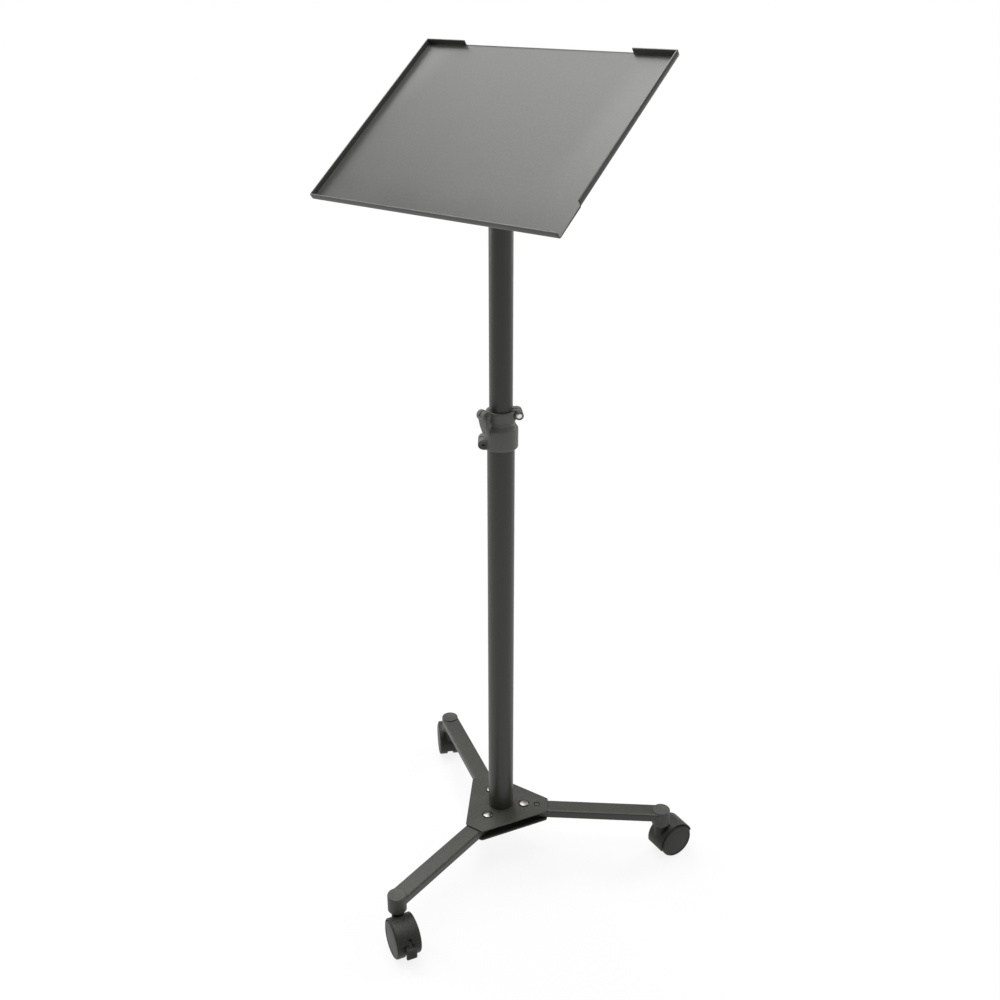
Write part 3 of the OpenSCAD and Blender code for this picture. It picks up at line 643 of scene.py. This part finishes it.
castorSize = {"trail": 19.5, "axle": 25, "hoodOuter": 28.1, "hoodInner": 26.1, "hoodWidth": 31, "rear": 20,
              "front": 197, "web": 7, "axleBoss": 19, "axleBore": 3, "stemBoss": 8, "stemLow": 37, "stemHigh": 53,
              "slot": 5.4, "slotTop": 41, "edge": 0.9}
wheelSize = {"radius": 25, "width": 12.5, "gap": 9, "bore": 3.05, "boreDepth": 10.1, "shoulder": 2.5}
brakeSize = {"pivotX": 31.5, "pivotZ": 42.5, "padX": 50, "padZ": 22.5, "padWidth": 14.5, "padHeight": 16,
             "padThick": 3, "padRound": 2.2, "grooves": (-5, -2.5, 0, 2.5), "groove": 0.9, "grooveDepth": 0.35,
             "arm": 4.6, "pin": 1.5, "pinLength": 6.7}


def makeHood(size):
    trail, axle = size["trail"], size["axle"]
    outline = arcPoints(trail, axle, size["hoodOuter"], size["rear"], size["front"], 48)
    outline += arcPoints(trail, axle, size["hoodInner"], size["front"], size["rear"], 48)
    hood = pullShape(outline, size["hoodWidth"])
    softEdges(hood, size["edge"], 40, 3)
    turnMesh(hood, alongY)
    sector = arcPoints(trail, axle, size["hoodInner"] + 1, size["rear"] + 2, size["front"] - 2, 32) + [(trail, axle)]
    web = pullShape(sector, size["web"])
    turnMesh(web, alongY)
    axlePlace = shift(trail, 0, axle) @ alongY
    axleBoss = addRod(size["axleBoss"], size["web"], axlePlace)
    low, high = size["stemLow"], size["stemHigh"]
    stemBoss = addRod(size["stemBoss"], high - low, shift(z=(high + low) / 2))
    # The stem boss stops at the web, so that both wheels keep their room
    sides = [shift(trail, side * (size["web"] / 2 + 12.5), axle) @ alongY for side in (-1, 1)]
    joinSolid(stemBoss, "DIFFERENCE", [addRod(size["hoodInner"] + 1, 25, place) for place in sides])
    joinSolid(hood, "UNION", [web, axleBoss, stemBoss])
    slot = addBlock((brakeSize["pivotX"] - 7, -size["slot"] / 2, brakeSize["pivotZ"] - 12),
                    (60, size["slot"] / 2, size["slotTop"]))
    joinSolid(hood, "DIFFERENCE", [slot, addRod(size["axleBore"], 42, axlePlace)])
    return hood


def makeWheel(size):
    radius, width, shoulder = size["radius"], size["width"], size["shoulder"]
    bore, depth = size["bore"], size["boreDepth"]
    profile = [(0, depth), (bore, depth), (bore, 0), (radius - 1, 0), (radius, 1)]
    profile += arcPoints(radius - shoulder, width - shoulder, shoulder, 0, 90, 7)
    # The side is lowest just inside the tread's edge and rises slowly to a flat middle
    profile += [(22.1, width), (21.8, width - 0.25), (21.5, width - 0.55), (21.1, width - 0.6), (19, width - 0.42),
                (16.5, width - 0.26), (13, width - 0.12), (9, width - 0.04), (4.5, width), (0, width)]
    return turnShape(profile, 96)


def makeBrakeLever(size):
    pivotX, pivotZ, padX, padZ = size["pivotX"], size["pivotZ"], size["padX"], size["padZ"]
    arm = pullShape([(pivotX - 5, pivotZ - 3), (pivotX + 4, pivotZ - 3), (padX, padZ + 1), (padX + 1, padZ + 6),
                     (pivotX + 4.5, pivotZ + 1), (pivotX - 3, pivotZ + 3)], size["arm"], 0.8, 3)
    turnMesh(arm, alongY)
    softEdges(arm, 0.4, 50)
    half, tall = size["padWidth"] / 2, size["padHeight"] / 2
    pad = pullShape([(-half, -tall), (half, -tall), (half, tall), (-half, tall)], size["padThick"], size["padRound"], 5)
    softEdges(pad, 0.8, 50, 3)
    wide, floor = size["groove"] / 2, size["padThick"] / 2 - size["grooveDepth"]
    grooves = [addBlock((-half + 3, row - wide, floor), (half - 3, row + wide, 4)) for row in size["grooves"]]
    joinSolid(pad, "DIFFERENCE", grooves)
    turnMesh(pad, shift(padX, 0, padZ) @ turned(90) @ alongY)
    pin = addRod(size["pin"], size["pinLength"], shift(pivotX, 0, pivotZ) @ alongY)
    joinSolid(arm, "UNION", [pad, pin])
    return arm


hoodShape, wheelShape, brakeShape = makeHood(castorSize), makeWheel(wheelSize), makeBrakeLever(brakeSize)
for leg in legNames:
    name = leg.title()
    hood = copyOf(hoodShape)
    turnMesh(hood, castorFrames[leg])
    finishPiece(hood, f"castorHood{name}", f"castor_{leg}", castorPlastic, [f"castor_hood_{leg}"])
    for letter, side in (("a", 1), ("b", -1)):
        wheel = copyOf(wheelShape)
        hub = shift(castorSize["trail"], side * wheelSize["gap"] / 2, castorSize["axle"])
        turnMesh(wheel, castorFrames[leg] @ hub @ turned(-90 * side, "X"))
        node = f"wheel_{leg}_{letter}"
        finishPiece(wheel, f"wheel{name}{letter.title()}", node, castorPlastic, [node], 28)
    brake = copyOf(brakeShape)
    turnMesh(brake, castorFrames[leg])
    finishPiece(brake, f"brakeLever{name}", f"brake_{leg}", castorPlastic, [f"brake_lever_{leg}"])
for shape in (hoodShape, wheelShape, brakeShape):
    bpy.data.objects.remove(shape)
print("castors made")


# Tubes with rolled ends

tubeSize = {"lower": {"radius": 17.5, "wall": 1.5, "bottom": 80, "top": 659.5, "round": 0.4, "body": "base"},
            "upper": {"radius": 14.75, "wall": 1.5, "bottom": 446.5, "top": 966.5, "round": 0.4, "body": "mast"}}


def makeTube(name, size):
    outer, inner, low, high = size["radius"], size["radius"] - size["wall"], size["bottom"], size["top"]
    lip = size["round"]
    tube = turnShape([(outer, low + lip), (outer, high - lip), (outer - lip, high), (inner + lip, high),
                      (inner, high - lip), (inner, low + lip), (inner + lip, low), (outer - lip, low)], 96, True)
    turnMesh(tube, poleFrame)
    return finishPiece(tube, f"{name}Tube", size["body"], framePaint, [f"{name}_tube"])


for name, size in tubeSize.items():
    makeTube(name, size)
print("tubes made")


# Clamp: collar, neck and split ring in one casting, with two pinch ears and the lever's lug

clampSize = {"collar": 21.75, "lowBore": 17.5, "highBore": 14.8, "bottom": 632.4, "seat": 659.8, "collarTop": 663.3,
             "neck": 17.75, "ring": 19, "ringBottom": 669.5, "ringTop": 682, "round": 2.8, "shoulder": 3.2, "slit": 2.4,
             "sink": 4.75, "sinkDepth": 8, "bore": 3}
earSize = {"low": {"heading": 219, "x": 22.35, "z": 640, "radius": 6.5, "length": 26, "inner": 17.5},
           "high": {"heading": 45, "x": 21.5, "z": 677.5, "radius": 5.75, "length": 18, "inner": 14.8}}
leverSize = {"heading": 259, "radius": 26, "height": 680, "hub": 6.4, "width": 18, "taper": 0.6, "length": 24.5,
             "lug": 5.7, "lugWidth": 6, "lugGap": 0.3, "slotStart": 4, "slotEnd": 266, "cheek": 0.62, "back": -1.75,
             "thick": 4.5, "pin": 2.5}


def earPlace(ear):
    return turned(ear["heading"]) @ shift(ear["x"], 0, ear["z"])


def leverPlace():
    return turned(leverSize["heading"]) @ shift(leverSize["radius"], 0, leverSize["height"])


def makeClampBody(size):
    collarTop, ringTop, ringBottom = size["collarTop"], size["ringTop"], size["ringBottom"]
    neck, ring, lowBore, highBore = size["neck"], size["ring"], size["lowBore"], size["highBore"]
    lower = arcPoints(size["collar"] - size["round"], size["bottom"] + size["round"], size["round"], -90, 0, 6)
    shoulder = arcPoints(size["collar"] - size["shoulder"], collarTop - 5.4, size["shoulder"], 0, 62, 6)
    neckLine = [(neck + 1.1, collarTop - 0.1), (neck + 0.3, collarTop), (neck, collarTop + 0.5), (neck, ringBottom)]
    ringLine = [(ring - 0.5, ringBottom), (ring, ringBottom + 0.5), (ring, ringTop - 0.8), (ring - 0.7, ringTop),
                (highBore + 0.5, ringTop), (highBore, ringTop - 0.5)]
    boreLine = [(highBore, size["seat"]), (lowBore, size["seat"])]
    body = turnShape([(lowBore, size["bottom"])] + lower + shoulder + neckLine + ringLine + boreLine, 96, True)
    for ear in earSize.values():
        lug = addRod(ear["radius"], ear["length"], alongY)
        softEdges(lug, 0.8, 50, 3)
        turnMesh(lug, earPlace(ear))
        half, radius = ear["length"] / 2, ear["radius"]
        bridge = addBlock((-0.45 * ear["x"], -half, -radius), (0, half, radius), earPlace(ear))
        joinSolid(lug, "UNION", [bridge])
        joinSolid(lug, "DIFFERENCE", [addRod(ear["inner"], 40, shift(z=ear["z"]), 96)])
        joinSolid(body, "UNION", [lug])
    root = size["ring"] - 3 - leverSize["radius"]
    hook = pullShape([(root, -8.5), (0, -leverSize["lug"])] + arcPoints(0, 0, leverSize["lug"], -75, 75, 12)
                     + [(0, leverSize["lug"]), (root, 1.7)], leverSize["lugWidth"])
    turnMesh(hook, leverPlace() @ alongY)
    joinSolid(body, "UNION", [hook])
    low, high = earSize["low"], earSize["high"]
    slit = size["slit"] / 2
    slitLow = addBlock((-6.9, -slit, -10), (10, slit, low["radius"] + 1), earPlace(low))
    slitHigh = addBlock((-8.8, -slit, collarTop + 0.5 - high["z"]), (9, slit, 8), earPlace(high))
    sink = addRod(size["sink"], size["sinkDepth"], earPlace(low) @ shift(y=low["length"] / 2) @ alongY)
    bores = [addRod(size["bore"], ear["length"] + 4, earPlace(ear) @ alongY, 40) for ear in earSize.values()]
    joinSolid(body, "DIFFERENCE", [slitLow, slitHigh, sink] + bores)
    turnMesh(body, poleFrame)
    return finishPiece(body, "clampCasting", "base", castPaint, ["clamp_body"])


def makeLever(size):
    back, length, front = size["back"], size["length"], size["back"] + size["thick"]
    paddle = pullShape([(back, 2), (back, -length * 0.6), (back - 0.4, -length), (back + 2.6, -length),
                        (front, -length * 0.6), (front + 0.6, -5), (size["hub"], 0), (3, 4)], size["width"], 0.7, 3)
    turnMesh(paddle, alongY)
    startEdit(paddle)
    for height in (-5, -10, -15, -20):
        bpy.ops.mesh.select_all(action="SELECT")
        bpy.ops.mesh.bisect(plane_co=(0, 0, height), plane_no=(0, 0, 1))
    endEdit()
    # One side narrows towards the tip, the other widens from the hub's short cheek
    for vertex in paddle.data.vertices:
        along = min(max((-5 - vertex.co.z) / (length - 5), 0), 1)
        if vertex.co.y < 0:
            vertex.co.y *= 1 - size["taper"] * along ** 1.15
        else:
            vertex.co.y *= size["cheek"] + (1 - size["cheek"]) * along
    softEdges(paddle, 1.1, 50, 4)
    half = size["width"] / 2
    hub = addRod(size["hub"], half * (1 + size["cheek"]), shift(y=half * (size["cheek"] - 1) / 2) @ alongY)
    softEdges(hub, 0.9, 50, 4)
    joinSolid(paddle, "UNION", [hub])
    # The slot is open where the lug's root passes while the lever opens
    slotWidth = size["lugWidth"] + 2 * size["lugGap"]
    slot = pullShape([(0, 0)] + arcPoints(0, 0, size["hub"] + 0.8, size["slotStart"], size["slotEnd"], 30), slotWidth)
    turnMesh(slot, alongY)
    pocket = addRod(size["lug"] + size["lugGap"], slotWidth, alongY)
    joinSolid(paddle, "DIFFERENCE", [pocket, slot, addRod(size["pin"], size["width"] + 4, alongY)])
    turnMesh(paddle, poleFrame @ leverPlace())
    return finishPiece(paddle, "clampPaddle", "lever", castPaint, ["clamp_lever"])


# Profiles are in millimetres along each bolt's axis from the middle of its ear, the pin's from the hinge
def makeClampBolts():
    low, high = earSize["low"], earSize["high"]
    collarBolt = turnShape([(0, 12), (4.3, 12), (4.75, 11.5), (4.75, 9), (3, 9), (3, -12.4), (2.4, -13), (0, -13)], 48)
    joinSolid(collarBolt, "DIFFERENCE", [addRod(2.5, 5.6, shift(z=12), 6)])
    turnMesh(collarBolt, poleFrame @ earPlace(low) @ turned(-90, "X"))
    finishPiece(collarBolt, "collarScrew", "base", blackZinc, ["collar_bolt"])
    ringBolt = turnShape([(0, -12), (4, -12), (4.75, -11.2), (4.75, -9), (3, -9), (3, 9), (5.25, 9), (5.25, 10),
                          (3, 10), (3, 13.4), (2.5, 13.9), (0, 13.9)], 48)
    nut = addRod(4.05, 3.2, shift(z=11.5), 6)
    softEdges(nut, 0.4, 25, 2)
    joinSolid(ringBolt, "UNION", [nut])
    turnMesh(ringBolt, poleFrame @ earPlace(high) @ turned(90, "X"))
    # The ring screw takes the lighter zinc copy, a painted glint on its end
    finishPiece(ringBolt, "ringScrew", "base", glintPaintedZinc, ["ring_bolt"])
    cup = turnShape([(4.3, 10.1), (5.6, 10.1), (5.6, 12.8), (5.3, 13.3), (4.8, 13.4), (4.3, 13)], 56, True)
    turnMesh(cup, poleFrame @ earPlace(high) @ turned(90, "X"))
    finishPiece(cup, "ringNutCup", "base", castPaint)
    pin = turnShape([(0, 6.3), (1.9, 6.3), (2.5, 5.8), (2.5, -9), (1.9, -9.5), (0, -9.5)], 40)
    turnMesh(pin, poleFrame @ leverPlace() @ alongY)
    finishPiece(pin, "leverHingePin", "lever", castPaint, ["lever_pin"])


makeClampBody(clampSize)
makeLever(leverSize)
makeClampBolts()
print("clamp made")


# Knob: six lobes cut from a turned grip

knobSize = {"radius": 20, "collar": 8, "collarHeight": 9.5, "grip": 12, "bore": 4, "boreDepth": 13.7, "start": 13.6,
            "lobes": 6, "lobeCut": 9}


def makeKnob(size):
    foot, top = size["collarHeight"], size["collarHeight"] + size["grip"]
    bore, depth, collar, radius = size["bore"], size["boreDepth"], size["collar"], size["radius"]
    knob = turnShape([(0, depth), (bore, depth), (bore, 0), (collar - 0.6, 0), (collar, 0.6), (collar, foot),
                      (radius, foot), (radius, top), (11, top), (9.5, top - 1), (0, top - 1)], 72)
    lobes = size["lobes"]
    cuts = [turned((lobe + 0.5) * 360 / lobes) @ shift(radius + 4, 0, foot + 6.9) for lobe in range(lobes)]
    joinSolid(knob, "DIFFERENCE", [addRod(size["lobeCut"], 16, place) for place in cuts])
    softEdges(knob, 1.2, 50, 4)
    tiltFrame = Matrix.Translation(tiltPoint) @ turned(traySize["tilt"], "X") @ toMetres
    turnMesh(knob, tiltFrame @ shift(size["start"]) @ turned(90, "Y"))
    return finishPiece(knob, "tiltKnobGrip", "tray", knobPlastic, ["tilt_knob"])


makeKnob(knobSize)
print("knob made")


# Floor, lamps and camera

floorPlan = {"size": 160, "bounce": (0.5, 0.5, 0.5), "seen": (0.95, 0.95, 0.95), "paleLow": 0.86, "paleHigh": 1,
             "paleStart": 0.35, "paleEnd": 1.1}


# Seen directly or mirrored the floor glows, with a faint shadow near the foot; other light meets plain grey
def makeFloor(plan):
    clearSelection()
    bpy.ops.mesh.primitive_plane_add(size=plan["size"])
    floor = bpy.context.object
    floor.name = "studioFloor"
    material = bpy.data.materials.new("paleFloor")
    material.use_nodes = True
    tree = material.node_tree
    tree.nodes.clear()
    output = addNode(tree, "ShaderNodeOutputMaterial")
    matt = addNode(tree, "ShaderNodeBsdfDiffuse")
    glow = addNode(tree, "ShaderNodeEmission")
    rays = addNode(tree, "ShaderNodeLightPath")
    mirrored = mathNode(tree, "MAXIMUM", rays.outputs["Is Camera Ray"], rays.outputs["Is Glossy Ray"])
    seen = mathNode(tree, "MAXIMUM", mirrored, rays.outputs["Is Transmission Ray"])
    tree.links.new(mixColour(tree, seen, plan["bounce"], plan["seen"]), matt.inputs["Color"])
    place = addNode(tree, "ShaderNodeTexCoord")
    reach = addNode(tree, "ShaderNodeVectorMath", operation="LENGTH")
    tree.links.new(place.outputs["Object"], reach.inputs[0])
    paleness = spread(tree, reach.outputs["Value"], plan["paleLow"], plan["paleHigh"], plan["paleStart"],
                      plan["paleEnd"])
    blend = addNode(tree, "ShaderNodeMixShader")
    tree.links.new(mathNode(tree, "MULTIPLY", seen, paleness), blend.inputs[0])
    tree.links.new(matt.outputs[0], blend.inputs[1])
    tree.links.new(glow.outputs[0], blend.inputs[2])
    tree.links.new(blend.outputs[0], output.inputs["Surface"])
    floor.data.materials.append(material)


def makeWorld(strength):
    world = bpy.data.worlds.new("studioWorld")
    bpy.context.scene.world = world
    world.use_nodes = True
    tree = world.node_tree
    tree.nodes.clear()
    output = addNode(tree, "ShaderNodeOutputWorld")
    soft = addNode(tree, "ShaderNodeBackground")
    soft.inputs["Strength"].default_value = strength
    white = addNode(tree, "ShaderNodeBackground")
    white.inputs["Color"].default_value = (1, 1, 1, 1)
    rays = addNode(tree, "ShaderNodeLightPath")
    blend = addNode(tree, "ShaderNodeMixShader")
    tree.links.new(rays.outputs["Is Camera Ray"], blend.inputs[0])
    tree.links.new(soft.outputs[0], blend.inputs[1])
    tree.links.new(white.outputs[0], blend.inputs[2])
    tree.links.new(blend.outputs[0], output.inputs["Surface"])


worldStrength = 0.12
lampPlan = {
    "sheenLamp": {"heading": 151, "elevation": 52, "distance": 2.6, "size": (1.5, 1.8), "power": 39},
    "leftRimLamp": {"heading": 196, "elevation": 18, "distance": 2.4, "size": (0.7, 2.2), "power": 26},
    "rightRimLamp": {"heading": 78, "elevation": 18, "distance": 2.4, "size": (0.7, 2.2), "power": 22},
    "fillLamp": {"heading": 8, "elevation": 20, "distance": 3.0, "size": (1.2, 2.0), "power": 8},
    "topLamp": {"heading": 300, "elevation": 84, "distance": 2.6, "size": (2.0, 2.0), "power": 62},
}


def makeLamps(plan):
    aim = poleFoot + Vector((0, 0, 0.75))
    for name, lamp in plan.items():
        light = bpy.data.lights.new(name, "AREA")
        light.shape = "RECTANGLE"
        light.size, light.size_y = lamp["size"]
        light.energy = lamp["power"]
        heading, elevation = math.radians(lamp["heading"]), math.radians(lamp["elevation"])
        level = math.cos(elevation)
        out = Vector((math.cos(heading) * level, math.sin(heading) * level, math.sin(elevation)))
        holder = bpy.data.objects.new(name, light)
        holder.location = aim + out * lamp["distance"]
        holder.rotation_mode = "QUATERNION"
        holder.rotation_quaternion = (-out).to_track_quat("-Z", "Y")
        bpy.context.scene.collection.objects.link(holder)


cameraPlan = {"offset": (0.8706, -1.0749), "height": 1.17868, "pitch": 24.12, "yaw": 0.05, "lens": 42.56}


def makeCamera(plan):
    lens = bpy.data.cameras.new("photoCamera")
    lens.lens = plan["lens"]
    lens.sensor_width = 36
    holder = bpy.data.objects.new("photoCamera", lens)
    across = Vector(plan["offset"])
    holder.location = poleFoot + Vector((across.x, across.y, plan["height"]))
    heading = math.atan2(-across.y, -across.x) + math.radians(plan["yaw"])
    pitch = math.radians(plan["pitch"])
    look = Vector((math.cos(heading) * math.cos(pitch), math.sin(heading) * math.cos(pitch), -math.sin(pitch)))
    holder.rotation_mode = "QUATERNION"
    holder.rotation_quaternion = look.to_track_quat("-Z", "Y")
    bpy.context.scene.collection.objects.link(holder)
    bpy.context.scene.camera = holder


makeFloor(floorPlan)
makeWorld(worldStrength)
makeLamps(lampPlan)
makeCamera(cameraPlan)
bpy.context.scene.view_settings.view_transform = "Standard"
clearSelection()
print("floor, lamps and camera ready")
